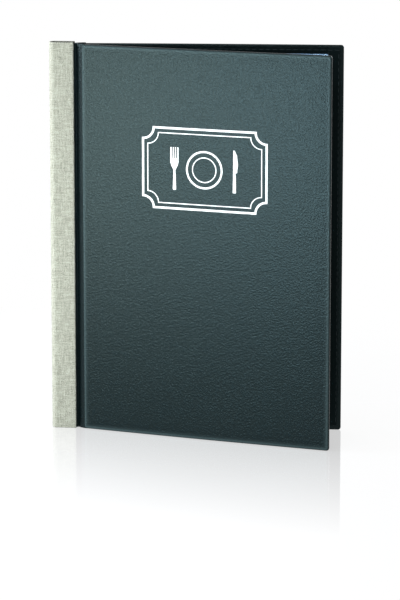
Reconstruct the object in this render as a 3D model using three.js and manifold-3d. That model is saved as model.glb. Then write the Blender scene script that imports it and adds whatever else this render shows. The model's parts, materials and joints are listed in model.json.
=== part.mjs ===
import * as THREE from 'three';
import { mergeVertices } from 'three/addons/utils/BufferGeometryUtils.js';
import Module from 'manifold-3d';

const wasm = await Module();
wasm.setup();

// Menu cover for A4 sheets, in millimetres, standing half open on its lower edges.
// +X runs from the spine to the free edges, -Y is the front, +Z is up.

// Overall sizes
const SPINE_HEIGHT = 315.3;
const COVER_HEIGHT = 314;
const SHUT_THICKNESS = 9.4;
const GAP = 0.3;

// Facets in a quarter turn of a corner, round a bored hole, round a turned part, across
// a board's edge and along a groove strip
const ROUND_STEPS = 6;
const HOLE_STEPS = 24;
const TURNED_STEPS = 32;
const EDGE_STEPS = 5;
const STRIP_STEPS = 34;

// Linen case: a stiff channel with a round back, bent over the binding edge
const CASE_WIDTH = 20.2;
const CASE_WALL = 1.5;
const CASE_EDGE = 0.4;

// Covers: two equal stiff boards with soft edges, each swinging about its groove
const COVER_THICKNESS = 3.2;
const COVER_EDGE = 1.45;
const COVER_CORNER = 2.2;
const COVER_REACH = 211;
const HINGE_X = 23.2;
const HINGE_OUT = 0.4;
const HINGE_TO_BOARD = 3;
const FRONT_OPEN = 14;
const BACK_OPEN = 2.5;

// Lining sheet inside each cover
const LINER_THICKNESS = 0.5;
const LINER_INSET = 3.4;
const LINER_CORNER = 1.2;
const LINER_EDGE = 0.12;

// Groove strips: one sheet each, from inside the case to the board's edge, standing just
// clear of the table and turned in a little above the boards
const STRIP_THICKNESS = 0.7;
const STRIP_FOOT = 0.2;
const STRIP_RISE = 0.4;
const STRIP_START_X = 7.6;
const STRIP_TO_SLEEVES = 0.35;
const STRIP_JOIN_DEPTH = 2.25;

// Where a strip leaves the case: it is flat up to here, and has risen a little at the mouth
const FLAT_INSIDE_MOUTH = 1.6;
const RISE_PAST_MOUTH = 0.2;
const MOUTH_RISE = 0.12;

// The valley between case and board, lowest on its way in and higher on its way out
const VALLEY_X = 23.4;
const VALLEY_DEPTH = 2.5;
const VALLEY_IN = { before: 1, lower: 0.35 };
const VALLEY_OUT = { after: 0.6, higher: 0.1 };

// Clear sleeves, bound as one stack
const SLEEVE_THICKNESS = 0.9;
const SLEEVE_START_X = 7.6;
const SLEEVE_END_X = 225.6;
const SLEEVE_BOTTOM = 3.4;
const SLEEVE_TOP = 307.4;
const SLEEVE_CORNER = 2.4;
const SLEEVE_EDGE = 0.15;

// Binding posts and their screws
const POST_X = 13;
const POST_HEIGHTS = { lower: 62, upper: 252 };
const HEAD_RADIUS = 4.5;
const HEAD_THICKNESS = 1;
const HEAD_CHAMFER = 0.3;
const BARREL_RADIUS = 2.5;
const BORE_RADIUS = 1.6;
const SHANK_RADIUS = 1.3;
const SLOT_WIDTH = 1.1;
const SLOT_DEPTH = 0.45;

const outerY = SHUT_THICKNESS / 2;
const sleeveFace = SLEEVE_THICKNESS / 2;
const stripInner = sleeveFace + STRIP_TO_SLEEVES;
const headInner = stripInner + STRIP_THICKNESS + GAP;
const holeRadius = BARREL_RADIUS + GAP;
const linerDepth = COVER_THICKNESS + GAP;

const linen = { color: 0xc4c9b6, roughness: 0.85, metalness: 0 };
const leatherette = { color: 0x45585b, roughness: 0.5, metalness: 0 };
const lining = { color: 0x182224, roughness: 0.6, metalness: 0 };
const clearFilm = { color: 0xa9bfc8, roughness: 0.12, metalness: 0 };
const nickel = { color: 0xb9b7b0, roughness: 0.3, metalness: 1 };

// One closed solid: corners shared, faces pointing outwards
function closed(source) {
  const bare = source.index ? source.toNonIndexed() : source.clone();
  bare.deleteAttribute('normal');
  bare.deleteAttribute('uv');
  const merged = mergeVertices(bare, 1e-4);
  const point = merged.attributes.position.array;
  const index = merged.index.array;
  const faces = [];
  let volume = 0;
  const a = new THREE.Vector3();
  const b = new THREE.Vector3();
  const c = new THREE.Vector3();
  for (let i = 0; i < index.length; i += 3) {
    const [p, q, r] = [index[i], index[i + 1], index[i + 2]];
    if (p === q || q === r || r === p) continue;
    faces.push([p, q, r]);
    a.fromArray(point, 3 * p);
    b.fromArray(point, 3 * q);
    c.fromArray(point, 3 * r);
    volume += a.dot(b.cross(c));
  }
  merged.setIndex(faces.flatMap(([p, q, r]) => (volume < 0 ? [p, r, q] : [p, q, r])));
  merged.computeVertexNormals();
  return merged;
}

function toManifold(geometry) {
  const vertProperties = new Float32Array(geometry.attributes.position.array);
  const triVerts = new Uint32Array(geometry.index.array);
  return new wasm.Manifold(new wasm.Mesh({ numProp: 3, vertProperties, triVerts }));
}

function cutAway(geometry, tools) {
  let body = toManifold(closed(geometry));
  for (const tool of tools) body = body.subtract(toManifold(closed(tool)));
  const mesh = body.getMesh();
  const result = new THREE.BufferGeometry();
  result.setAttribute('position', new THREE.BufferAttribute(mesh.vertProperties, 3));
  result.setIndex(Array.from(mesh.triVerts));
  return result;
}

// Section drawn in X and Y, drawn upwards, with its top and bottom edges rounded
function upright(section, bottom, top, edge) {
  const geometry = new THREE.ExtrudeGeometry(section, {
    depth: top - bottom - 2 * edge,
    bevelEnabled: edge > 0,
    bevelThickness: edge,
    bevelSize: edge,
    bevelOffset: -edge,
    bevelSegments: 2,
    curveSegments: 2 * ROUND_STEPS,
  });
  return geometry.translate(0, 0, bottom + edge);
}

// Outline drawn in X and Z, made into a plate that fills y = 0 to thickness
function plate(outline, thickness, edge, steps) {
  const geometry = new THREE.ExtrudeGeometry(outline, {
    depth: thickness - 2 * edge,
    bevelEnabled: edge > 0,
    bevelThickness: edge,
    bevelSize: edge,
    bevelOffset: -edge,
    bevelSegments: steps,
    curveSegments: ROUND_STEPS,
  });
  geometry.translate(0, 0, edge);
  return geometry.rotateX(Math.PI / 2).translate(0, thickness, 0);
}

function roundedOutline(x0, z0, x1, z1, radius) {
  const outline = new THREE.Shape();
  outline.moveTo(x0 + radius, z0);
  outline.absarc(x1 - radius, z0 + radius, radius, -Math.PI / 2, 0, false);
  outline.absarc(x1 - radius, z1 - radius, radius, 0, Math.PI / 2, false);
  outline.absarc(x0 + radius, z1 - radius, radius, Math.PI / 2, Math.PI, false);
  outline.absarc(x0 + radius, z0 + radius, radius, Math.PI, 1.5 * Math.PI, false);
  return outline;
}

// Channel section: two flat sides, a half-round back and two rounded lips at the mouth
function caseSection() {
  const inner = outerY - CASE_WALL;
  const lip = CASE_WALL / 2;
  const section = new THREE.Shape();
  section.moveTo(outerY, -outerY);
  section.absarc(CASE_WIDTH - lip, -outerY + lip, lip, -Math.PI / 2, Math.PI / 2, false);
  section.absarc(outerY, 0, inner, -Math.PI / 2, Math.PI / 2, true);
  section.absarc(CASE_WIDTH - lip, outerY - lip, lip, -Math.PI / 2, Math.PI / 2, false);
  section.absarc(outerY, 0, outerY, Math.PI / 2, 1.5 * Math.PI, false);
  return section;
}

// A place on a cover, given along the cover and in from its outer face
function onCover(along, depth, side, openDegrees) {
  const turn = THREE.MathUtils.degToRad(openDegrees);
  const inward = HINGE_OUT + depth;
  const x = HINGE_X + along * Math.cos(turn) + inward * Math.sin(turn);
  const out = outerY + HINGE_OUT + along * Math.sin(turn) - inward * Math.cos(turn);
  return new THREE.Vector2(x, side * out);
}

// Section of a groove strip: flat tail in the case, swelling over the valley, then
// diving to the board's edge
function grooveSection(side, openDegrees) {
  const tail = stripInner + STRIP_THICKNESS / 2;
  const valley = outerY - VALLEY_DEPTH;
  const line = new THREE.SplineCurve([
    new THREE.Vector2(STRIP_START_X, side * tail),
    new THREE.Vector2(POST_X, side * tail),
    new THREE.Vector2(CASE_WIDTH - FLAT_INSIDE_MOUTH, side * tail),
    new THREE.Vector2(CASE_WIDTH + RISE_PAST_MOUTH, side * (tail + MOUTH_RISE)),
    new THREE.Vector2(VALLEY_X - VALLEY_IN.before, side * (valley - VALLEY_IN.lower)),
    new THREE.Vector2(VALLEY_X + VALLEY_OUT.after, side * (valley + VALLEY_OUT.higher)),
    onCover(HINGE_TO_BOARD - GAP, STRIP_JOIN_DEPTH, side, openDegrees),
  ]);
  const points = line.getSpacedPoints(STRIP_STEPS);
  const near = [];
  const far = [];
  points.forEach((p, i) => {
    const way = line.getTangentAt(i / (points.length - 1));
    const across = new THREE.Vector2(-way.y, way.x).multiplyScalar(STRIP_THICKNESS / 2);
    near.push(p.clone().sub(across));
    far.push(p.clone().add(across));
  });
  return new THREE.Shape([...near, ...far.reverse()]);
}

function postHole(z, radius) {
  const length = 2 * SHUT_THICKNESS;
  const bit = new THREE.CylinderGeometry(radius, radius, length, HOLE_STEPS);
  return bit.translate(POST_X, 0, z);
}

const holes = Object.values(POST_HEIGHTS).map((z) => postHole(z, holeRadius));

function grooveStrip(side, openDegrees) {
  const top = COVER_HEIGHT + STRIP_RISE;
  const sheet = upright(grooveSection(side, openDegrees), STRIP_FOOT, top, 0);
  return cutAway(sheet, holes);
}

function sleeveStack() {
  const outline = roundedOutline(
    SLEEVE_START_X, SLEEVE_BOTTOM, SLEEVE_END_X, SLEEVE_TOP, SLEEVE_CORNER,
  );
  const stack = plate(outline, SLEEVE_THICKNESS, SLEEVE_EDGE, 1);
  return cutAway(stack.translate(0, -sleeveFace, 0), holes);
}

// Turned about the post's own axis, which lies along Y
function turned(profile) {
  const points = profile.map(([radius, y]) => new THREE.Vector2(radius, y));
  return new THREE.LatheGeometry(points, TURNED_STEPS);
}

function post() {
  const outer = -headInner - HEAD_THICKNESS;
  const barrelEnd = headInner - GAP;
  return turned([
    [0, outer], [HEAD_RADIUS - HEAD_CHAMFER, outer], [HEAD_RADIUS, outer + HEAD_CHAMFER],
    [HEAD_RADIUS, -headInner], [BARREL_RADIUS, -headInner], [BARREL_RADIUS, barrelEnd],
    [BORE_RADIUS, barrelEnd], [BORE_RADIUS, -headInner + GAP], [0, -headInner + GAP],
  ]);
}

function screw() {
  const outer = headInner + HEAD_THICKNESS;
  const blank = turned([
    [0, -headInner + 3 * GAP], [SHANK_RADIUS, -headInner + 3 * GAP],
    [SHANK_RADIUS, headInner], [HEAD_RADIUS, headInner], [HEAD_RADIUS, outer - HEAD_CHAMFER],
    [HEAD_RADIUS - HEAD_CHAMFER, outer], [0, outer],
  ]);
  const slot = new THREE.BoxGeometry(3 * HEAD_RADIUS, 2 * SLOT_DEPTH, SLOT_WIDTH);
  return cutAway(blank, [slot.translate(0, outer, 0)]);
}

function coverBoard() {
  const outline = roundedOutline(HINGE_TO_BOARD, 0, COVER_REACH, COVER_HEIGHT, COVER_CORNER);
  return plate(outline, COVER_THICKNESS, COVER_EDGE, EDGE_STEPS);
}

function coverLiner() {
  const outline = roundedOutline(
    HINGE_TO_BOARD + LINER_INSET, LINER_INSET,
    COVER_REACH - LINER_INSET, COVER_HEIGHT - LINER_INSET, LINER_CORNER,
  );
  return plate(outline, LINER_THICKNESS, LINER_EDGE, 1);
}

const menuCover = new THREE.Group();

function place(parent, name, geometry, finish) {
  const mesh = new THREE.Mesh(closed(geometry), new THREE.MeshStandardMaterial(finish));
  mesh.name = name;
  parent.add(mesh);
  return mesh;
}

// A cover swings about its pivot; its plates are drawn for the front and mirrored behind
function addCover(name, side, openDegrees) {
  const pivot = new THREE.Group();
  pivot.position.set(HINGE_X, side * (outerY + HINGE_OUT), 0);
  pivot.rotation.z = THREE.MathUtils.degToRad(side * openDegrees);
  const board = coverBoard().translate(0, HINGE_OUT, 0);
  const liner = coverLiner().translate(0, HINGE_OUT + linerDepth, 0);
  for (const piece of [board, liner]) piece.scale(1, -side, 1);
  place(pivot, `${name}_cover`, board, leatherette);
  place(pivot, `${name}_liner`, liner, lining);
  menuCover.add(pivot);
}

place(menuCover, 'linen_spine', upright(caseSection(), 0, SPINE_HEIGHT, CASE_EDGE), linen);
place(menuCover, 'menu_sleeves', sleeveStack(), clearFilm);
place(menuCover, 'front_groove', grooveStrip(-1, FRONT_OPEN), leatherette);
place(menuCover, 'back_groove', grooveStrip(1, BACK_OPEN), leatherette);
for (const [level, z] of Object.entries(POST_HEIGHTS)) {
  place(menuCover, `post_${level}`, post(), nickel).position.set(POST_X, 0, z);
  place(menuCover, `screw_${level}`, screw(), nickel).position.set(POST_X, 0, z);
}
addCover('front', -1, FRONT_OPEN);
addCover('back', 1, BACK_OPEN);

// The origin is the middle of the footprint, on the surface that the cover stands on
menuCover.updateMatrixWorld(true);
const box = new THREE.Box3().setFromObject(menuCover, true);
const middle = box.getCenter(new THREE.Vector3());
for (const piece of menuCover.children) {
  piece.position.x -= middle.x;
  piece.position.y -= middle.y;
  piece.position.z -= box.min.z;
}

export default menuCover;
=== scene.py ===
import json
import math

import bmesh
import bpy
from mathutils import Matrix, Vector


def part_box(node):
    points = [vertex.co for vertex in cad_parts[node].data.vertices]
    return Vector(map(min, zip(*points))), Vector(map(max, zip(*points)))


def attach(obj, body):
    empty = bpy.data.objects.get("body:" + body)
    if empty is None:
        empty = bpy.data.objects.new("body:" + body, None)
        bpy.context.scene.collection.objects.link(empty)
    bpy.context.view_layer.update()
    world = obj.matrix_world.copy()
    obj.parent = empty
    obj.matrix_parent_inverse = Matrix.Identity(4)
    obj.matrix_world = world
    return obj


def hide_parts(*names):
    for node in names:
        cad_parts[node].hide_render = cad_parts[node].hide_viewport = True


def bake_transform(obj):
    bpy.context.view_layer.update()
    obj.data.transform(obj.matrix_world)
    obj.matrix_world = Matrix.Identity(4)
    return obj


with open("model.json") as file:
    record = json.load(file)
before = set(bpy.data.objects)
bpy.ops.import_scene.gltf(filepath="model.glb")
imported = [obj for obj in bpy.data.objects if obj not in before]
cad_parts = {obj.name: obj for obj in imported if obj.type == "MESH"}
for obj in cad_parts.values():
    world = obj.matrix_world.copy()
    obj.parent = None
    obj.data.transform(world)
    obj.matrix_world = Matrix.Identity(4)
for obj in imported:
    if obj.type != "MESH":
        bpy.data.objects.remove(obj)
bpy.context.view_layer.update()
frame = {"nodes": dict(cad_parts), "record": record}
MM = 0.001

# Sizes shared with the solids, in millimetres
CASE_LOW, CASE_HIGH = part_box("linen_spine")
CASE_X = CASE_LOW.x / MM
CASE_Y = (CASE_LOW.y + CASE_HIGH.y) / 2 / MM
CASE_HEIGHT = (CASE_HIGH.z - CASE_LOW.z) / MM
CASE_WIDTH = (CASE_HIGH.x - CASE_LOW.x) / MM
SHUT_HALF = (CASE_HIGH.y - CASE_LOW.y) / 2 / MM
CASE_WALL = 1.5
CASE_EDGE = 0.5
HINGE_X = 23.2
HINGE_OUT = 0.4
HINGE_TO_BOARD = 3.0
REACH = 211.0
BOARD_HEIGHT = 314.0
BOARD_THICKNESS = 3.2
BOARD_CORNER = 2.2
LINER_INSET = 3.4
LINER_CORNER = 1.2
LINER_THICKNESS = 0.5
STRIP_THICKNESS = 0.7
STRIP_EDGE = 0.3
STRIP_FOOT = 0.2
STRIP_RISE = 0.4
SIDE = {"front": -1, "back": 1}
OPEN = {}
for joint in frame["record"]["behaviour"]["joints"]:
    OPEN[joint["name"].split("_")[0]] = -joint["range_deg"][0]

# Sizes that only the looks need, in millimetres
BOW = 1.3
SMALLEST_BEND = 0.04
SLEEVE_X = (7.6, 223.2)
SLEEVE_Z = (3.4, 308.0)
SLEEVE_CORNER = 2.4
LEAF_GAP = 0.3
LEAN_FORWARD, LEAN_BACK = 0.3, 0.4
WELD = 4.0
STITCH_INSET = 0.7
STITCH_PROUD = 0.05
STITCH_PITCH = 5.5
STITCH_LENGTH = 3.9
THREAD_WIDTH = 0.42
FOIL_PROUD, FOIL_SUNK = 0.05, 0.06
EMBLEM_SHIFT, EMBLEM_HEIGHT = 0.5, 219.0
CUTLERY_SHIFT = 25
REFLECTION_START, REFLECTION_REACH = -5, 215

# How finely curves are drawn
SPLINE_STEPS = 24
STRIP_POINTS = 72
END_STEPS = 5
EDGE_STEPS = 4
HEIGHT_STEPS = 30
LIP_STEPS = 10
BACK_STEPS = 24
NOTCH_STEPS = 10
FRAME_PARTS = 12

# A wave texture's bands lie this far apart at scale 1
WAVE_STEP = 0.314


def place(x, y, z):
    """A point given in millimetres from the back of the spine, in the object's own frame."""
    return Vector(((CASE_X + x) * MM, (CASE_Y + y) * MM, z * MM))


def on_cover(cover, along, depth, z):
    """A point on a cover, along it from its hinge and in from its slightly bowed outer face."""
    turn = math.radians(OPEN[cover])
    middle, half = (REACH + HINGE_TO_BOARD) / 2, (REACH - HINGE_TO_BOARD) / 2
    inward = HINGE_OUT + depth - BOW * max(0.0, 1 - ((along - middle) / half) ** 2)
    x = HINGE_X + along * math.cos(turn) + inward * math.sin(turn)
    out = SHUT_HALF + HINGE_OUT + along * math.sin(turn) - inward * math.cos(turn)
    return place(x, SIDE[cover] * out, z)


def linear(colour):
    """An sRGB hex colour as linear red, green, blue and alpha."""
    parts = [int(colour[i:i + 2], 16) / 255 for i in (1, 3, 5)]
    return tuple(c / 12.92 if c <= 0.04045 else ((c + 0.055) / 1.055) ** 2.4 for c in parts) + (1,)


def add(tree, kind, inputs=None, **settings):
    """Adds a node, sets its properties, and gives each input a value or a link."""
    made = tree.nodes.new(kind)
    for name, value in settings.items():
        setattr(made, name, value)
    for key, value in (inputs or {}).items():
        if isinstance(value, bpy.types.NodeSocket):
            tree.links.new(value, made.inputs[key])
        else:
            made.inputs[key].default_value = value
    return made


def new_finish(name):
    finish = bpy.data.materials.new(name)
    finish.use_nodes = True
    finish.node_tree.nodes.clear()
    return finish, finish.node_tree


def book_cloth():
    # Book cloth of flax and cotton: uneven threads both ways, dark where they cross, quite matt
    finish, tree = new_finish("linen_book_cloth")
    cloth = add(tree, "ShaderNodeUVMap", uv_map="cloth").outputs["UV"]
    # threads 1.05 mm apart, about twice a real thread's width so that they show
    pitch = 1.05 * MM
    weave = None
    for direction in ("X", "Y"):
        threads = add(tree, "ShaderNodeTexWave",
                      {"Vector": cloth, "Scale": WAVE_STEP / pitch, "Distortion": 3.5,
                       "Detail": 3.0, "Detail Scale": 3.0, "Detail Roughness": 0.7},
                      bands_direction=direction)
        weave = threads.outputs["Fac"] if weave is None else add(
            tree, "ShaderNodeMath", {0: weave, 1: threads.outputs["Fac"]},
            operation="MULTIPLY").outputs[0]
    # single thick and thin threads, long in their own direction
    slubs = []
    for stretch in ((1 / pitch, 0.12 / pitch, 1), (0.12 / pitch, 1 / pitch, 1)):
        drawn = add(tree, "ShaderNodeMapping", {"Vector": cloth, "Scale": stretch})
        slubs.append(add(tree, "ShaderNodeTexNoise",
                         {"Vector": drawn.outputs[0], "Scale": 1.0, "Detail": 4.0}).outputs["Fac"])
    slub = add(tree, "ShaderNodeMath", {0: slubs[0], 1: slubs[1]}, operation="ADD")
    slub = add(tree, "ShaderNodeMath", {0: slub.outputs[0], 1: 0.5}, operation="MULTIPLY")
    # fibres 0.75 mm across, coarser than real ones so that they show
    fibres = add(tree, "ShaderNodeTexNoise",
                 {"Vector": cloth, "Scale": 1.0 / (0.75 * MM), "Detail": 4.0, "Roughness": 0.75})
    # the dark specks are gaps between the threads
    coarse = add(tree, "ShaderNodeMath", {0: weave, 1: 0.3, 2: slub.outputs[0]},
                 operation="MULTIPLY_ADD")
    height = add(tree, "ShaderNodeMath", {0: fibres.outputs["Fac"], 1: 1.5, 2: coarse.outputs[0]},
                 operation="MULTIPLY_ADD")
    share = add(tree, "ShaderNodeMapRange",
                {"Value": height.outputs[0], "From Min": 0.97, "From Max": 1.7})
    tone = add(tree, "ShaderNodeValToRGB", {"Fac": share.outputs[0]})
    tone.color_ramp.elements.new(0.5)
    for stop, colour in zip(tone.color_ramp.elements, ("#4e4f43", "#9a9b8c", "#c0c1b1")):
        stop.color = linear(colour)
    bump = add(tree, "ShaderNodeBump",
               {"Height": share.outputs[0], "Strength": 0.6, "Distance": 0.15 * MM})
    skin = add(tree, "ShaderNodeBsdfPrincipled",
               {"Base Color": tone.outputs["Color"], "Roughness": 0.88,
                "Specular IOR Level": 0.25, "Sheen Weight": 0.2, "Sheen Roughness": 0.5,
                "Normal": bump.outputs["Normal"]})
    add(tree, "ShaderNodeOutputMaterial", {"Surface": skin.outputs[0]})
    return finish


def leatherette():
    # Coated cloth embossed with a fine grain: nearly black petrol, with a broad satin sheen
    finish, tree = new_finish("petrol_leatherette")
    spot = add(tree, "ShaderNodeTexCoord").outputs["Object"]
    # grains 1.3 mm across with creases of 0.95 mm on them, twice the real size so that they show
    pebble = add(tree, "ShaderNodeTexVoronoi",
                 {"Vector": spot, "Scale": 1 / (1.3 * MM), "Randomness": 1.0}, feature="SMOOTH_F1")
    crease = add(tree, "ShaderNodeTexNoise",
                 {"Vector": spot, "Scale": 1 / (0.95 * MM), "Detail": 5.0, "Roughness": 0.65})
    relief = add(tree, "ShaderNodeMath", {0: crease.outputs["Fac"], 1: pebble.outputs["Distance"]},
                 operation="SUBTRACT")
    tone = add(tree, "ShaderNodeValToRGB", {"Fac": relief.outputs[0]})
    tone.color_ramp.elements[0].color = linear("#030708")
    tone.color_ramp.elements[1].position = 0.6
    tone.color_ramp.elements[1].color = linear("#0b181c")
    gloss = add(tree, "ShaderNodeMapRange", {"Value": relief.outputs[0], "From Min": -0.2,
                                             "From Max": 0.6, "To Min": 0.38, "To Max": 0.2})
    bump = add(tree, "ShaderNodeBump",
               {"Height": relief.outputs[0], "Strength": 0.9, "Distance": 0.18 * MM})
    # painted highlight: the coating is painted paler along the boards' edges, where it is also made
    # smoother
    edge_highlight_and_gloss = add(tree, "ShaderNodeAttribute", attribute_name="edge_highlight_and_gloss").outputs["Fac"]
    colour = add(tree, "ShaderNodeMix",
                 {0: edge_highlight_and_gloss, 6: tone.outputs["Color"], 7: linear("#485859")}, data_type="RGBA")
    smooth = add(tree, "ShaderNodeMath", {0: edge_highlight_and_gloss, 1: -0.12, 2: gloss.outputs[0]},
                 operation="MULTIPLY_ADD")
    skin = add(tree, "ShaderNodeBsdfPrincipled",
               {"Base Color": colour.outputs[2], "Roughness": smooth.outputs[0],
                "Specular IOR Level": 0.19, "Specular Tint": (0.66, 0.98, 1.0, 1.0),
                "Normal": bump.outputs["Normal"]})
    add(tree, "ShaderNodeOutputMaterial", {"Surface": skin.outputs[0]})
    return finish


def lining_sheet():
    # Black embossed lining: a thin coated sheet with a fine linen emboss, low sheen
    finish, tree = new_finish("black_lining_sheet")
    spot = add(tree, "ShaderNodeTexCoord").outputs["Object"]
    # the emboss is drawn 1 mm apart, about twice the real size, so that it shows
    across, up = (
        add(tree, "ShaderNodeTexWave",
            {"Vector": spot, "Scale": WAVE_STEP / (1.0 * MM), "Distortion": 1.5, "Detail": 2.0},
            bands_direction=direction).outputs["Fac"] for direction in ("X", "Z"))
    emboss = add(tree, "ShaderNodeMath", {0: across, 1: up}, operation="ADD").outputs[0]
    level = add(tree, "ShaderNodeMath", {0: emboss, 1: 0.5}, operation="MULTIPLY")
    tone = add(tree, "ShaderNodeValToRGB", {"Fac": level.outputs[0]})
    tone.color_ramp.elements[0].color = linear("#010304")
    tone.color_ramp.elements[1].color = linear("#050c0e")
    bump = add(tree, "ShaderNodeBump", {"Height": emboss, "Strength": 0.3, "Distance": 0.06 * MM})
    skin = add(tree, "ShaderNodeBsdfPrincipled",
               {"Base Color": tone.outputs["Color"], "Roughness": 0.5, "Specular IOR Level": 0.12,
                "Specular Tint": (0.6, 0.98, 1.0, 1.0), "Normal": bump.outputs["Normal"]})
    add(tree, "ShaderNodeOutputMaterial", {"Surface": skin.outputs[0]})
    return finish


def clear_film():
    # Calendered clear film: glass-like gloss and slight ripple, milky blue where its top is welded
    finish, tree = new_finish("clear_film")
    spot = add(tree, "ShaderNodeTexCoord").outputs["Object"]
    # ripples about 29 mm across
    ripple = add(tree, "ShaderNodeTexNoise", {"Vector": spot, "Scale": 35.0, "Detail": 2.0})
    bump = add(tree, "ShaderNodeBump",
               {"Height": ripple.outputs["Fac"], "Strength": 0.15, "Distance": 1.0 * MM})
    clear = add(tree, "ShaderNodeBsdfPrincipled",
                {"Base Color": linear("#eef6fa"), "Roughness": 0.09, "IOR": 1.46,
                 "Transmission Weight": 0.97, "Normal": bump.outputs["Normal"]})
    weld = add(tree, "ShaderNodeBsdfPrincipled",
               {"Base Color": linear("#94c4ee"), "Roughness": 0.14, "IOR": 1.46,
                "Specular Tint": (0.5, 0.78, 1.0, 1.0), "Specular IOR Level": 0.8,
                "Normal": bump.outputs["Normal"]})
    height = add(tree, "ShaderNodeSeparateXYZ", {"Vector": spot}).outputs["Z"]
    milky = add(tree, "ShaderNodeMapRange",
                {"Value": height, "From Min": (SLEEVE_Z[1] - WELD) * MM,
                 "From Max": (SLEEVE_Z[1] - WELD / 2) * MM, "To Min": 0.0, "To Max": 0.8})
    both = add(tree, "ShaderNodeMixShader",
               {0: milky.outputs[0], 1: clear.outputs[0], 2: weld.outputs[0]})
    add(tree, "ShaderNodeOutputMaterial", {"Surface": both.outputs[0]})
    return finish


def sewing_thread():
    # Bonded polyester thread, twisted, a shade lighter than the lining it is sewn through
    finish, tree = new_finish("dark_sewing_thread")
    spot = add(tree, "ShaderNodeTexCoord").outputs["Object"]
    twist = add(tree, "ShaderNodeTexNoise",
                {"Vector": spot, "Scale": 1 / (0.5 * MM), "Detail": 2.0})
    tone = add(tree, "ShaderNodeValToRGB", {"Fac": twist.outputs["Fac"]})
    tone.color_ramp.elements[0].color = linear("#0c181b")
    tone.color_ramp.elements[1].color = linear("#223539")
    skin = add(tree, "ShaderNodeBsdfPrincipled",
               {"Base Color": tone.outputs["Color"], "Roughness": 0.7})
    add(tree, "ShaderNodeOutputMaterial", {"Surface": skin.outputs[0]})
    return finish


def pressed_foil():
    # White pigment foil pressed into the grain: even, satin, the grain just shows through
    finish, tree = new_finish("white_pressed_foil")
    spot = add(tree, "ShaderNodeTexCoord").outputs["Object"]
    grain = add(tree, "ShaderNodeTexNoise",
                {"Vector": spot, "Scale": 1 / (0.8 * MM), "Detail": 4.0})
    tone = add(tree, "ShaderNodeValToRGB", {"Fac": grain.outputs["Fac"]})
    tone.color_ramp.elements[0].color = linear("#dfe2de")
    tone.color_ramp.elements[1].color = linear("#fbfcf9")
    bump = add(tree, "ShaderNodeBump",
               {"Height": grain.outputs["Fac"], "Strength": 0.25, "Distance": 0.05 * MM})
    skin = add(tree, "ShaderNodeBsdfPrincipled",
               {"Base Color": tone.outputs["Color"], "Roughness": 0.45,
                "Normal": bump.outputs["Normal"]})
    add(tree, "ShaderNodeOutputMaterial", {"Surface": skin.outputs[0]})
    return finish


def nickel_plate():
    # Nickel-plated steel, turned and barrel plated: bright, with faint uneven handling marks
    finish, tree = new_finish("nickel_plate")
    spot = add(tree, "ShaderNodeTexCoord").outputs["Object"]
    marks = add(tree, "ShaderNodeTexNoise",
                {"Vector": spot, "Scale": 1 / (0.3 * MM), "Detail": 3.0})
    gloss = add(tree, "ShaderNodeMapRange",
                {"Value": marks.outputs["Fac"], "To Min": 0.22, "To Max": 0.38})
    skin = add(tree, "ShaderNodeBsdfPrincipled",
               {"Base Color": linear("#c3c0b7"), "Metallic": 1.0, "Roughness": gloss.outputs[0]})
    add(tree, "ShaderNodeOutputMaterial", {"Surface": skin.outputs[0]})
    return finish


CLOTH, LEATHERETTE, LINING = book_cloth(), leatherette(), lining_sheet()
FILM, THREAD, FOIL, NICKEL = clear_film(), sewing_thread(), pressed_foil(), nickel_plate()


def make_piece(name, points, faces, finish, smooth=True, uvs=None):
    """A closed piece from points in metres, its faces turned outwards."""
    mesh = bpy.data.meshes.new(name)
    mesh.from_pydata([tuple(p) for p in points], [], faces)
    if uvs:
        layer = mesh.uv_layers.new(name="cloth")
        for face, corners in zip(mesh.polygons, uvs):
            for loop, uv in zip(face.loop_indices, corners):
                layer.data[loop].uv = uv
    shell = bmesh.new()
    shell.from_mesh(mesh)
    bmesh.ops.recalc_face_normals(shell, faces=shell.faces)
    shell.to_mesh(mesh)
    shell.free()
    mesh.materials.append(finish)
    for face in mesh.polygons:
        face.use_smooth = smooth
    piece = bpy.data.objects.new(name, mesh)
    bpy.context.collection.objects.link(piece)
    return piece


def rounded_loop(x0, z0, x1, z1, radius, inset=0.0, steps=6, side_step=14.0):
    """Points round a rectangle with round corners, moved in evenly, some along its sides."""
    corners = [(x1, z0, -1, 1, -90), (x1, z1, -1, -1, 0), (x0, z1, 1, -1, 90), (x0, z0, 1, 1, 180)]

    def corner_point(corner, degrees, inner):
        cx, cz, inwards_x, inwards_z, _ = corner
        bend = max(radius - inner, SMALLEST_BEND)
        turn = math.radians(degrees)
        return (cx + inwards_x * (inner + bend) + bend * math.cos(turn),
                cz + inwards_z * (inner + bend) + bend * math.sin(turn))

    loop = []
    for corner, following in zip(corners, corners[1:] + corners[:1]):
        first = corner[4]
        loop += [corner_point(corner, first + 90 * i / steps, inset) for i in range(steps + 1)]
        begin, end = loop[-1], corner_point(following, following[4], inset)
        full = math.dist(corner_point(corner, first + 90, 0),
                         corner_point(following, following[4], 0))
        count = max(1, round(full / side_step))
        for i in range(1, count):
            t = i / count
            loop.append((begin[0] + (end[0] - begin[0]) * t, begin[1] + (end[1] - begin[1]) * t))
    return loop


def plate_piece(name, to_space, x0, z0, x1, z1, corner, profile, finish):
    """A plate whose edge follows a profile of (inset, depth) rings, capped at both ends."""
    points, faces = [], []
    for inset, depth in profile:
        ring = rounded_loop(x0, z0, x1, z1, corner, inset)
        points += [to_space(x, depth, z) for x, z in ring]
    count = len(points) // len(profile)
    for ring in range(len(profile) - 1):
        for i in range(count):
            j = (i + 1) % count
            faces.append((ring * count + i, ring * count + j,
                          (ring + 1) * count + j, (ring + 1) * count + i))
    last = (len(profile) - 1) * count
    faces.append(tuple(range(count)))
    faces.append(tuple(range(last + count - 1, last - 1, -1)))
    return make_piece(name, points, faces, finish)


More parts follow.
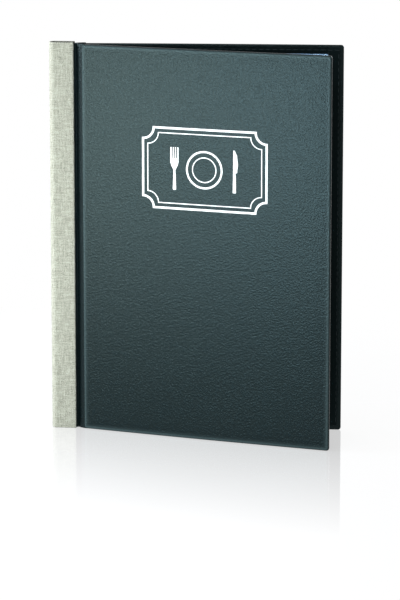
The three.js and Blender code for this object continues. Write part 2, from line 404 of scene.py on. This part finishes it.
def bent_sheet(name, line, thickness, low, high, edge, finish):
    """A sheet that stands upright, bent along a line in X and Y, with every edge rounded."""
    ways = []
    for i in range(len(line)):
        a, b = line[max(i - 1, 0)], line[min(i + 1, len(line) - 1)]
        ways.append(Vector((b[0] - a[0], b[1] - a[1])).normalized())

    def outline(inset):
        half = thickness / 2 - inset
        left = [(p[0] - w.y * half, p[1] + w.x * half) for p, w in zip(line, ways)]
        right = [(p[0] + w.y * half, p[1] - w.x * half) for p, w in zip(line, ways)]
        ends = []
        for p, w, sign in ((line[-1], ways[-1], 1), (line[0], ways[0], -1)):
            arc = []
            for i in range(1, END_STEPS):
                turn = math.pi * i / END_STEPS
                across = Vector((-w.y, w.x)) * sign * math.cos(turn)
                ahead = w * sign * math.sin(turn)
                arc.append((p[0] + (across.x + ahead.x) * half, p[1] + (across.y + ahead.y) * half))
            ends.append(arc)
        return left + ends[0] + right[::-1] + ends[1]

    quarter = [math.pi / 2 * i / EDGE_STEPS for i in range(EDGE_STEPS + 1)]
    rings = [(edge * (1 - math.sin(turn)), low + edge * (1 - math.cos(turn))) for turn in quarter]
    rings += [(0, low + edge + (high - low - 2 * edge) * i / HEIGHT_STEPS)
              for i in range(1, HEIGHT_STEPS)]
    rings += [(edge * (1 - math.cos(turn)), high - edge * (1 - math.sin(turn))) for turn in quarter]
    points, faces, uvs = [], [], []
    base = outline(0)
    count = len(base)
    run = [0.0]
    for i in range(count):
        run.append(run[-1] + math.dist(base[i], base[(i + 1) % count]) * MM)
    for inset, z in rings:
        points += [place(x, y, z) for x, y in outline(inset)]
    for r in range(len(rings) - 1):
        for i in range(count):
            j = (i + 1) % count
            faces.append((r * count + i, r * count + j, (r + 1) * count + j, (r + 1) * count + i))
            z0, z1 = rings[r][1] * MM, rings[r + 1][1] * MM
            uvs.append([(run[i], z0), (run[i + 1], z0), (run[i + 1], z1), (run[i], z1)])
    n = len(line)
    for start, flip in ((0, False), ((len(rings) - 1) * count, True)):
        last = start + count - 1
        pairs = [(start + k, start + n + END_STEPS - 1 + (n - 1 - k)) for k in range(n)]
        for (a, b), (c, d) in zip(pairs, pairs[1:]):
            quad = (a, b, d, c) if not flip else (a, c, d, b)
            faces.append(quad)
            uvs.append([(points[v].x, points[v].y) for v in quad])
        for ring in ([start + n - 1 + k for k in range(END_STEPS + 1)],
                     [start + 2 * n + END_STEPS - 2 + k for k in range(END_STEPS)] + [start]):
            faces.append(tuple(ring))
            uvs.append([(points[v].x, points[v].y) for v in ring])
    return make_piece(name, points, faces, finish, uvs=uvs)


def spline(points, count):
    """Even points on a smooth line through the given ones."""
    dense = []
    padded = [points[0]] + list(points) + [points[-1]]
    for i in range(1, len(padded) - 2):
        p0, p1, p2, p3 = (Vector(p) for p in padded[i - 1:i + 3])
        for k in range(SPLINE_STEPS):
            t = k / SPLINE_STEPS
            dense.append(0.5 * ((2 * p1) + (p2 - p0) * t + (2 * p0 - 5 * p1 + 4 * p2 - p3) * t * t
                                + (3 * p1 - p0 - 3 * p2 + p3) * t ** 3))
    dense.append(Vector(points[-1]))
    run = [0.0]
    for a, b in zip(dense, dense[1:]):
        run.append(run[-1] + (b - a).length)
    even, k = [], 0
    for i in range(count):
        want = run[-1] * i / (count - 1)
        while k < len(run) - 2 and run[k + 1] < want:
            k += 1
        t = (want - run[k]) / max(run[k + 1] - run[k], 1e-9)
        even.append(tuple(dense[k].lerp(dense[k + 1], min(t, 1))))
    return even


def spine_case():
    middle = SHUT_HALF - CASE_WALL / 2
    lip = CASE_WIDTH - CASE_WALL / 2
    line = [(lip + (SHUT_HALF - lip) * i / LIP_STEPS, -middle) for i in range(LIP_STEPS)]
    for i in range(BACK_STEPS + 1):
        turn = math.radians(-90 - 180 * i / BACK_STEPS)
        line.append((SHUT_HALF + middle * math.cos(turn), middle * math.sin(turn)))
    line += [(SHUT_HALF + (lip - SHUT_HALF) * i / LIP_STEPS, middle)
             for i in range(1, LIP_STEPS + 1)]
    return bent_sheet("linen_case", line, CASE_WALL, 0, CASE_HEIGHT, CASE_EDGE, CLOTH)


case = spine_case()
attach(case, "binding")
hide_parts("linen_spine")


# Edge of a board from its inner face to its outer face, as (inset, depth)
BOARD_EDGE = [(inset, BOARD_THICKNESS) for inset in (103, 96, 80, 64, 48, 32, 18, 8, 3, 1.15)]
BOARD_EDGE += [(0.62, 3.1), (0.25, 2.86), (0.06, 2.5), (0, 2.1), (0, 1.7), (0.05, 1.3),
               (0.2, 0.93), (0.46, 0.64), (0.82, 0.44), (1.25, 0.32), (1.9, 0.235), (3, 0.15),
               (5, 0.07), (8, 0.02)]
BOARD_EDGE += [(inset, 0) for inset in (14, 24, 36, 48, 64, 80, 96, 103)]
# How strongly the painted edge highlight and the smoother coating show, by the inset of the rings
# in the outer face's soft edge
EDGE_HIGHLIGHT_AND_GLOSS = {0.46: 0.15, 0.82: 0.35, 1.25: 0.5, 1.9: 0.42, 3: 0.12}
SOFT_EDGE_DEPTH = 1.0
# Edge of a lining sheet from its free face to the face that is glued down
LINER_EDGE = [(inset, LINER_THICKNESS) for inset in (99, 90, 75, 60, 45, 30, 15, 1)]
LINER_EDGE += [(0.2, 0.48), (0.05, 0.4), (0, 0.3), (0, 0.15), (0.05, 0.03)]
LINER_EDGE += [(inset, 0) for inset in (0.2, 15, 30, 45, 60, 75, 90, 99)]
# A groove strip leaves the channel and sinks into a narrow valley: these points of its line are
# (along from the back of the spine, out from the middle)
STRIP_AT_SPINE = ((7.6, 1.15), (13, 1.15), (CASE_WIDTH - 3.6, 1.2), (CASE_WIDTH - 1.2, 1.85),
                  (CASE_WIDTH + 0.1, 2.05), (CASE_WIDTH + 0.8, 1.3), (CASE_WIDTH + 1.3, 1.0))
# then it curves up to the board's edge and in under it: (along from the hinge, in from the face)
STRIP_AT_BOARD = ((-1.6, 2.95), (-0.9, 2.45), (-0.15, 2.02), (1.0, 1.52), (2.0, 1.2), (2.8, 0.98),
                  (3.4, 0.84), (3.9, 0.73), (4.6, 0.72), (5.5, 0.85))

for cover in ("front", "back"):
    body = f"{cover}_board"

    board = plate_piece(f"{cover}_cover_leatherette", lambda x, d, z: on_cover(cover, x, d, z),
                        HINGE_TO_BOARD, 0, REACH, BOARD_HEIGHT, BOARD_CORNER, BOARD_EDGE,
                        LEATHERETTE)
    ring_size = len(board.data.vertices) // len(BOARD_EDGE)
    # the painted edge highlight and smoother coating go onto the outer face's soft edge
    edge_highlight_and_gloss = board.data.attributes.new("edge_highlight_and_gloss", "FLOAT", "POINT")
    for ring, (inset, depth) in enumerate(BOARD_EDGE):
        if depth < SOFT_EDGE_DEPTH:
            for i in range(ring * ring_size, (ring + 1) * ring_size):
                edge_highlight_and_gloss.data[i].value = EDGE_HIGHLIGHT_AND_GLOSS.get(inset, 0.0)
    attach(board, body)
    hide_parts(f"{cover}_cover")

    # the lining lies right on the board, without the thin gap that the solids keep between them
    liner = plate_piece(f"{cover}_lining",
                        lambda x, d, z: on_cover(cover, x, BOARD_THICKNESS + d, z),
                        HINGE_TO_BOARD + LINER_INSET, LINER_INSET, REACH - LINER_INSET,
                        BOARD_HEIGHT - LINER_INSET, LINER_CORNER, LINER_EDGE, LINING)
    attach(liner, body)
    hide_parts(f"{cover}_liner")

    route = [(x, SIDE[cover] * y) for x, y in STRIP_AT_SPINE]
    for along, depth in STRIP_AT_BOARD:
        spot = on_cover(cover, along, depth, 0)
        route.append((spot.x / MM - CASE_X, spot.y / MM - CASE_Y))
    groove = bent_sheet(f"{cover}_groove_leatherette", spline(route, STRIP_POINTS), STRIP_THICKNESS,
                        STRIP_FOOT, BOARD_HEIGHT + STRIP_RISE, STRIP_EDGE, LEATHERETTE)
    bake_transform(groove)
    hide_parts(f"{cover}_groove")


def stitch_tree():
    """Stitches set end to end along a closed line."""
    tree = bpy.data.node_groups.new("lining_stitches", "GeometryNodeTree")
    sockets = {}
    tree.interface.new_socket("Geometry", in_out="INPUT", socket_type="NodeSocketGeometry")
    for label, kind in (("Stitch pitch", "NodeSocketFloat"), ("Stitch length", "NodeSocketFloat"),
                        ("Thread width", "NodeSocketFloat"), ("Thread", "NodeSocketMaterial")):
        sockets[label] = tree.interface.new_socket(label, in_out="INPUT", socket_type=kind)
    tree.interface.new_socket("Geometry", in_out="OUTPUT", socket_type="NodeSocketGeometry")
    given = add(tree, "NodeGroupInput").outputs
    line = add(tree, "GeometryNodeMeshToCurve", {0: given["Geometry"]})
    spots = add(tree, "GeometryNodeCurveToPoints",
                {"Curve": line.outputs[0], "Length": given["Stitch pitch"]}, mode="LENGTH")
    turned = add(tree, "FunctionNodeAlignRotationToVector",
                 {"Vector": spots.outputs["Tangent"]}, axis="X")
    half = add(tree, "ShaderNodeMath", {0: given["Stitch length"], 1: 0.5}, operation="MULTIPLY")
    girth = add(tree, "ShaderNodeMath", {0: given["Thread width"], 1: 0.5}, operation="MULTIPLY")
    size = add(tree, "ShaderNodeCombineXYZ",
               {"X": half.outputs[0], "Y": girth.outputs[0], "Z": girth.outputs[0]})
    loop = add(tree, "GeometryNodeMeshUVSphere", {"Segments": 6, "Rings": 6, "Radius": 1.0})
    lie = add(tree, "GeometryNodeTransform",
              {"Geometry": loop.outputs["Mesh"], "Rotation": (0, math.pi / 2, 0)})
    sewn = add(tree, "GeometryNodeInstanceOnPoints",
               {"Points": spots.outputs["Points"], "Instance": lie.outputs[0],
                "Rotation": turned.outputs[0], "Scale": size.outputs[0]})
    real = add(tree, "GeometryNodeRealizeInstances", {0: sewn.outputs[0]})
    dyed = add(tree, "GeometryNodeSetMaterial",
               {"Geometry": real.outputs[0], "Material": given["Thread"]})
    add(tree, "NodeGroupOutput", {0: dyed.outputs[0]})
    return tree, sockets


def sew(name, points, tree, sockets, sizes):
    """Runs the stitches along the points and returns them as a plain mesh."""
    mesh = bpy.data.meshes.new(name + "_line")
    count = len(points)
    mesh.from_pydata([tuple(p) for p in points], [(i, (i + 1) % count) for i in range(count)], [])
    guide = bpy.data.objects.new(name + "_line", mesh)
    bpy.context.collection.objects.link(guide)
    modifier = guide.modifiers.new("stitches", "NODES")
    modifier.node_group = tree
    for label, value in sizes.items():
        modifier[sockets[label].identifier] = value
    graph = bpy.context.evaluated_depsgraph_get()
    plain = bpy.data.meshes.new_from_object(guide.evaluated_get(graph))
    plain.name = name
    # the single stitch brings an empty slot, which comes before the thread's
    plain.materials.pop(index=0)
    for face in plain.polygons:
        face.use_smooth = True
    bpy.data.objects.remove(guide)
    piece = bpy.data.objects.new(name, plain)
    bpy.context.collection.objects.link(piece)
    return piece


tree, sockets = stitch_tree()
for cover in ("front", "back"):
    inset = LINER_INSET + STITCH_INSET
    loop = rounded_loop(HINGE_TO_BOARD + inset, inset, REACH - inset, BOARD_HEIGHT - inset,
                        LINER_CORNER, side_step=STITCH_PITCH)
    depth = BOARD_THICKNESS + LINER_THICKNESS + STITCH_PROUD
    path = [on_cover(cover, x, depth, z) for x, z in loop]
    seam = sew(f"{cover}_lining_stitches", path, tree, sockets,
               {"Stitch pitch": STITCH_PITCH * MM, "Stitch length": STITCH_LENGTH * MM,
                "Thread width": THREAD_WIDTH * MM, "Thread": THREAD})
    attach(seam, f"{cover}_board")


# Half section of one leaf, as (inset, half its thickness): a bead at its rim and a weld further in
LEAF_EDGE = [(30, 0.1), (4.2, 0.1), (3.6, 0.13), (3.2, 0.1), (2.6, 0.1), (2.0, 0.1), (1.5, 0.1),
             (1.0, 0.1), (0.6, 0.14), (0.25, 0.15), (0.06, 0.1), (0, 0.03)]


def leaf_space(middle):
    """A leaf stands flat up to its top weld, which leans forward a little and then back."""
    def to_space(x, depth, z):
        above = min(max(0.0, (z - SLEEVE_Z[1] + WELD) / WELD), 1.0)
        lean = -2 * LEAN_FORWARD * above
        if above >= 0.5:
            lean = -LEAN_FORWARD + 2 * (LEAN_FORWARD + LEAN_BACK) * (above - 0.5)
        return place(x, middle + depth + lean, z)
    return to_space


leaves = []
for i, middle in enumerate((-LEAF_GAP, 0.0, LEAF_GAP)):
    rim = LEAF_EDGE + [(inset, -depth) for inset, depth in reversed(LEAF_EDGE)]
    leaves.append(plate_piece(f"menu_sleeve_{i + 1}", leaf_space(middle), SLEEVE_X[0], SLEEVE_Z[0],
                              SLEEVE_X[1], SLEEVE_Z[1], SLEEVE_CORNER, rim, FILM))
for leaf in leaves:
    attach(leaf, "binding")
    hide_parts("menu_sleeves")


def ribbon(points, width):
    """Both edges of a closed line of the given width."""
    outer, inner = [], []
    count = len(points)
    for i, p in enumerate(points):
        a, b = points[i - 1], points[(i + 1) % count]
        first = Vector((p[0] - a[0], p[1] - a[1])).normalized()
        second = Vector((b[0] - p[0], b[1] - p[1])).normalized()
        across = Vector((-(first.y + second.y), first.x + second.x))
        across = across / max(across.length, 1e-6)
        reach = width / 2 / max(across.dot(Vector((-first.y, first.x))), 0.5)
        outer.append((p[0] + across.x * reach, p[1] + across.y * reach))
        inner.append((p[0] - across.x * reach, p[1] - across.y * reach))
    return outer, inner


def between(a, b, parts):
    return [(a[0] + (b[0] - a[0]) * i / parts, a[1] + (b[1] - a[1]) * i / parts)
            for i in range(1, parts)]


def notched_frame(width, height, notch):
    """A rectangle whose corners are hollow quarter rounds, with points along its sides."""
    w, h = width / 2, height / 2
    points = []
    for cx, cz, start in ((w, -h, 180), (w, h, 270), (-w, h, 0), (-w, -h, 90)):
        for i in range(NOTCH_STEPS + 1):
            turn = math.radians(start - 90 * i / NOTCH_STEPS)
            corner = (cx + notch * math.cos(turn), cz + notch * math.sin(turn))
            if i == 0 and points:
                points += between(points[-1], corner, FRAME_PARTS)
            points.append(corner)
    return points + between(points[-1], points[0], FRAME_PARTS)


def ring_line(radius, count=64):
    turns = [2 * math.pi * i / count for i in range(count)]
    return [(radius * math.cos(turn), radius * math.sin(turn)) for turn in turns]


def knife_outline():
    blade = [(1.1, -17), (1.35, -16), (1.2, -4), (0.9, -1.5), (2.3, -0.5), (2.9, 6), (2.2, 13),
             (0.2, 17)]
    return [(-1.1, -17)] + blade + [(-0.9, 17), (-1.0, -1.5), (-1.3, -16)]


def fork_outline():
    right = [(1.1, -17), (1.35, -16), (0.8, -1.0), (2.6, 2.2), (3.4, 5.0), (3.4, 17), (2.4, 17),
             (2.2, 8), (1.4, 8), (1.3, 17), (0.5, 17), (0.4, 8)]
    left = [(-x, z) for x, z in reversed(right)]
    return right + left


def emblem():
    """A notched double frame with a plate, fork and knife, as one piece of raised foil."""
    middle = (HINGE_TO_BOARD + REACH) / 2 + EMBLEM_SHIFT
    face, back = -FOIL_PROUD, FOIL_SUNK
    points, faces = [], []

    def put(loop, depth):
        start = len(points)
        points.extend(on_cover("front", middle + x, depth, EMBLEM_HEIGHT + z) for x, z in loop)
        return start

    def add_line(path, width):
        outer, inner = ribbon(path, width)
        n = len(outer)
        a, b = put(outer, face), put(inner, face)
        c, d = put(outer, back), put(inner, back)
        for i in range(n):
            j = (i + 1) % n
            faces.extend([(a + i, a + j, b + j, b + i), (c + i, d + i, d + j, c + j),
                          (a + i, c + i, c + j, a + j), (b + i, b + j, d + j, d + i)])

    def add_shape(loop, shift):
        loop = [(x + shift, z) for x, z in loop]
        n = len(loop)
        a, c = put(loop, face), put(loop, back)
        faces.append(tuple(a + i for i in range(n)))
        faces.append(tuple(c + i for i in reversed(range(n))))
        for i in range(n):
            j = (i + 1) % n
            faces.append((a + i, c + i, c + j, a + j))

    for size, line_width in (((103, 64, 9), 1.7), ((95, 56, 9), 0.75)):
        add_line(notched_frame(*size), line_width)
    for radius, line_width in ((14.5, 1.5), (9.8, 0.8)):
        add_line(ring_line(radius), line_width)
    add_shape(fork_outline(), -CUTLERY_SHIFT)
    add_shape(knife_outline(), CUTLERY_SHIFT)
    return make_piece("front_emblem", points, faces, FOIL, smooth=False)


mark = emblem()
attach(mark, "front_board")

for level in ("lower", "upper"):
    for part in ("post", "screw"):
        piece = frame["nodes"][f"{part}_{level}"]
        piece.data.materials.clear()
        piece.data.materials.append(NICKEL)


FLOOR_HALF = 4
MIRROR_SHARE = 0.33
# metres from the object's middle between which its shadow on the floor fades out
SHADOW_FULL, SHADOW_GONE = 0.15, 0.5


def seeing_rays(tree):
    """Light Path's outputs, and 1 for the rays that show what lies round the object."""
    path = add(tree, "ShaderNodeLightPath").outputs
    seen = add(tree, "ShaderNodeMath", {0: path["Is Camera Ray"], 1: path["Is Glossy Ray"]},
               operation="ADD")
    seen = add(tree, "ShaderNodeMath", {0: seen.outputs[0], 1: path["Is Transmission Ray"]},
               operation="ADD", use_clamp=True)
    return path, seen.outputs[0]


def glossy_floor():
    # White coated table top: a mirror image that fades away from the object's foot
    finish, tree = new_finish("glossy_white_floor")
    spot = add(tree, "ShaderNodeTexCoord").outputs["Object"]
    away = None
    for cover in ("front", "back"):
        # how far a spot lies in front of the middle of the cover's outer face
        foot, turn = on_cover(cover, 100, 0, 0), math.radians(OPEN[cover])
        outward = Vector((-math.sin(turn), SIDE[cover] * math.cos(turn), 0))
        ahead = add(tree, "ShaderNodeVectorMath", {0: spot, 1: outward}, operation="DOT_PRODUCT")
        gap = add(tree, "ShaderNodeMath", {0: ahead.outputs["Value"], 1: foot.dot(outward)},
                  operation="SUBTRACT")
        away = gap if away is None else add(
            tree, "ShaderNodeMath", {0: away.outputs[0], 1: gap.outputs[0]}, operation="MAXIMUM")
    fade = add(tree, "ShaderNodeMapRange",
               {"Value": away.outputs[0], "From Min": REFLECTION_START * MM,
                "From Max": REFLECTION_REACH * MM, "To Min": MIRROR_SHARE, "To Max": 0.0})
    path, seen = seeing_rays(tree)
    # it is white to the eye, but throws little light back at the object
    colour = add(tree, "ShaderNodeMix", {0: seen, 6: linear("#5a5a5a"), 7: linear("#f4f4f4")},
                 data_type="RGBA")
    paint = add(tree, "ShaderNodeBsdfDiffuse", {"Color": colour.outputs[2]})
    white = add(tree, "ShaderNodeEmission", {"Color": (1, 1, 1, 1), "Strength": 1.0})
    # a little of the object's shadow shows near it, and none further off
    far = add(tree, "ShaderNodeVectorMath", {0: spot}, operation="LENGTH")
    bare = add(tree, "ShaderNodeMapRange",
               {"Value": far.outputs["Value"], "From Min": SHADOW_FULL, "From Max": SHADOW_GONE,
                "To Min": 0.9, "To Max": 1.0})
    share = add(tree, "ShaderNodeMath", {0: seen, 1: bare.outputs[0]}, operation="MULTIPLY")
    sheet = add(tree, "ShaderNodeMixShader",
                {0: share.outputs[0], 1: paint.outputs[0], 2: white.outputs[0]})
    # lamps don't reach the object by way of the mirror image, because only the camera sees it
    shown = add(tree, "ShaderNodeMath", {0: fade.outputs[0], 1: path["Is Camera Ray"]},
                operation="MULTIPLY")
    mirror = add(tree, "ShaderNodeBsdfAnisotropic", {"Color": (1, 1, 1, 1), "Roughness": 0.03})
    both = add(tree, "ShaderNodeMixShader",
               {0: shown.outputs[0], 1: sheet.outputs[0], 2: mirror.outputs[0]})
    add(tree, "ShaderNodeOutputMaterial", {"Surface": both.outputs[0]})
    return finish


floor_mesh = bpy.data.meshes.new("floor")
floor_mesh.from_pydata([(x * FLOOR_HALF, y * FLOOR_HALF, 0)
                        for x, y in ((-1, -1), (1, -1), (1, 1), (-1, 1))], [], [(0, 1, 2, 3)])
floor_mesh.materials.append(glossy_floor())
floor = bpy.data.objects.new("floor", floor_mesh)
bpy.context.collection.objects.link(floor)

world = bpy.data.worlds.new("studio")
bpy.context.scene.world = world
world.use_nodes = True
sky = world.node_tree
sky.nodes.clear()
seen = seeing_rays(sky)[1]
dim = add(sky, "ShaderNodeBackground", {"Color": linear("#e9eef2"), "Strength": 0.14})
bright = add(sky, "ShaderNodeBackground", {"Color": (1, 1, 1, 1), "Strength": 1.0})
blend = add(sky, "ShaderNodeMixShader", {0: seen, 1: dim.outputs[0], 2: bright.outputs[0]})
add(sky, "ShaderNodeOutputWorld", {"Surface": blend.outputs[0]})


def soft_box(name, spot, aim, width, height, watts, colour):
    lamp = bpy.data.lights.new(name, "AREA")
    lamp.shape = "RECTANGLE"
    lamp.size, lamp.size_y = width, height
    lamp.energy = watts
    lamp.color = linear(colour)[:3]
    box = bpy.data.objects.new(name, lamp)
    box.location = spot
    box.rotation_euler = (Vector(aim) - Vector(spot)).to_track_quat("-Z", "Y").to_euler()
    bpy.context.collection.objects.link(box)


def round_object(azimuth, distance, height):
    """A lamp's place, by its direction from the front towards the spine's side."""
    turn = math.radians(azimuth)
    return (-math.sin(turn) * distance, -math.cos(turn) * distance, height)


CENTRE = (0, 0, 0.16)
# Direction in degrees, distance, height, the box's own width and height, watts and colour
LAMPS = {
    # two low boxes, either side of the front cover's mirror direction, make its sheen
    "spine_side_box": (45, 0.62, 0.182, 0.19, 0.3, 3.0, "#fffefa"),
    "open_side_box": (18.5, 0.62, 0.182, 0.19, 0.3, 3.2, "#e8f4ff"),
    "side_box": (86, 1.0, 0.5, 0.5, 0.4, 14.5, "#edf2ff"),
    "front_top_box": (6, 1.4, 1.05, 0.35, 0.25, 5.5, "#f3f8ff"),
    # two boxes behind it, which the picture doesn't show, light the back for other views
    "back_spine_box": (148, 1.2, 0.5, 0.5, 0.4, 9, "#fffefa"),
    "back_open_box": (217, 1.2, 0.5, 0.5, 0.4, 6, "#f3f8ff"),
}
for name, (azimuth, distance, height, wide, tall, watts, colour) in LAMPS.items():
    soft_box(name, round_object(azimuth, distance, height), CENTRE, wide, tall, watts, colour)
soft_box("rim_box", (0.1, 0.75, 1.1), (0, 0, 0.3), 0.7, 0.3, 0.4, "#dcebff")

camera_data = bpy.data.cameras.new("camera")
camera = bpy.data.objects.new("camera", camera_data)
bpy.context.collection.objects.link(camera)
# a long lens from 2.3 m, a little above the cover's top and to its open side
AZIMUTH, ELEVATION, DISTANCE = 5.8, 10.33, 2300
FOCAL_PIXELS, LONG_SIDE, SENSOR = 2879.7, 600, 36
camera_data.sensor_width = SENSOR
camera_data.lens = FOCAL_PIXELS * SENSOR / LONG_SIDE
camera_data.shift_y = -0.17
camera_data.clip_end = 20
aim = place(120.7, 0, 190.93)
turn, rise = math.radians(AZIMUTH), math.radians(ELEVATION)
back = Vector((math.sin(turn) * math.cos(rise), -math.cos(turn) * math.cos(rise), math.sin(rise)))
camera.location = aim + back * DISTANCE * MM
camera.rotation_euler = (-back).to_track_quat("-Z", "Y").to_euler()
bpy.context.scene.camera = camera
bpy.context.scene.view_settings.view_transform = "Standard"
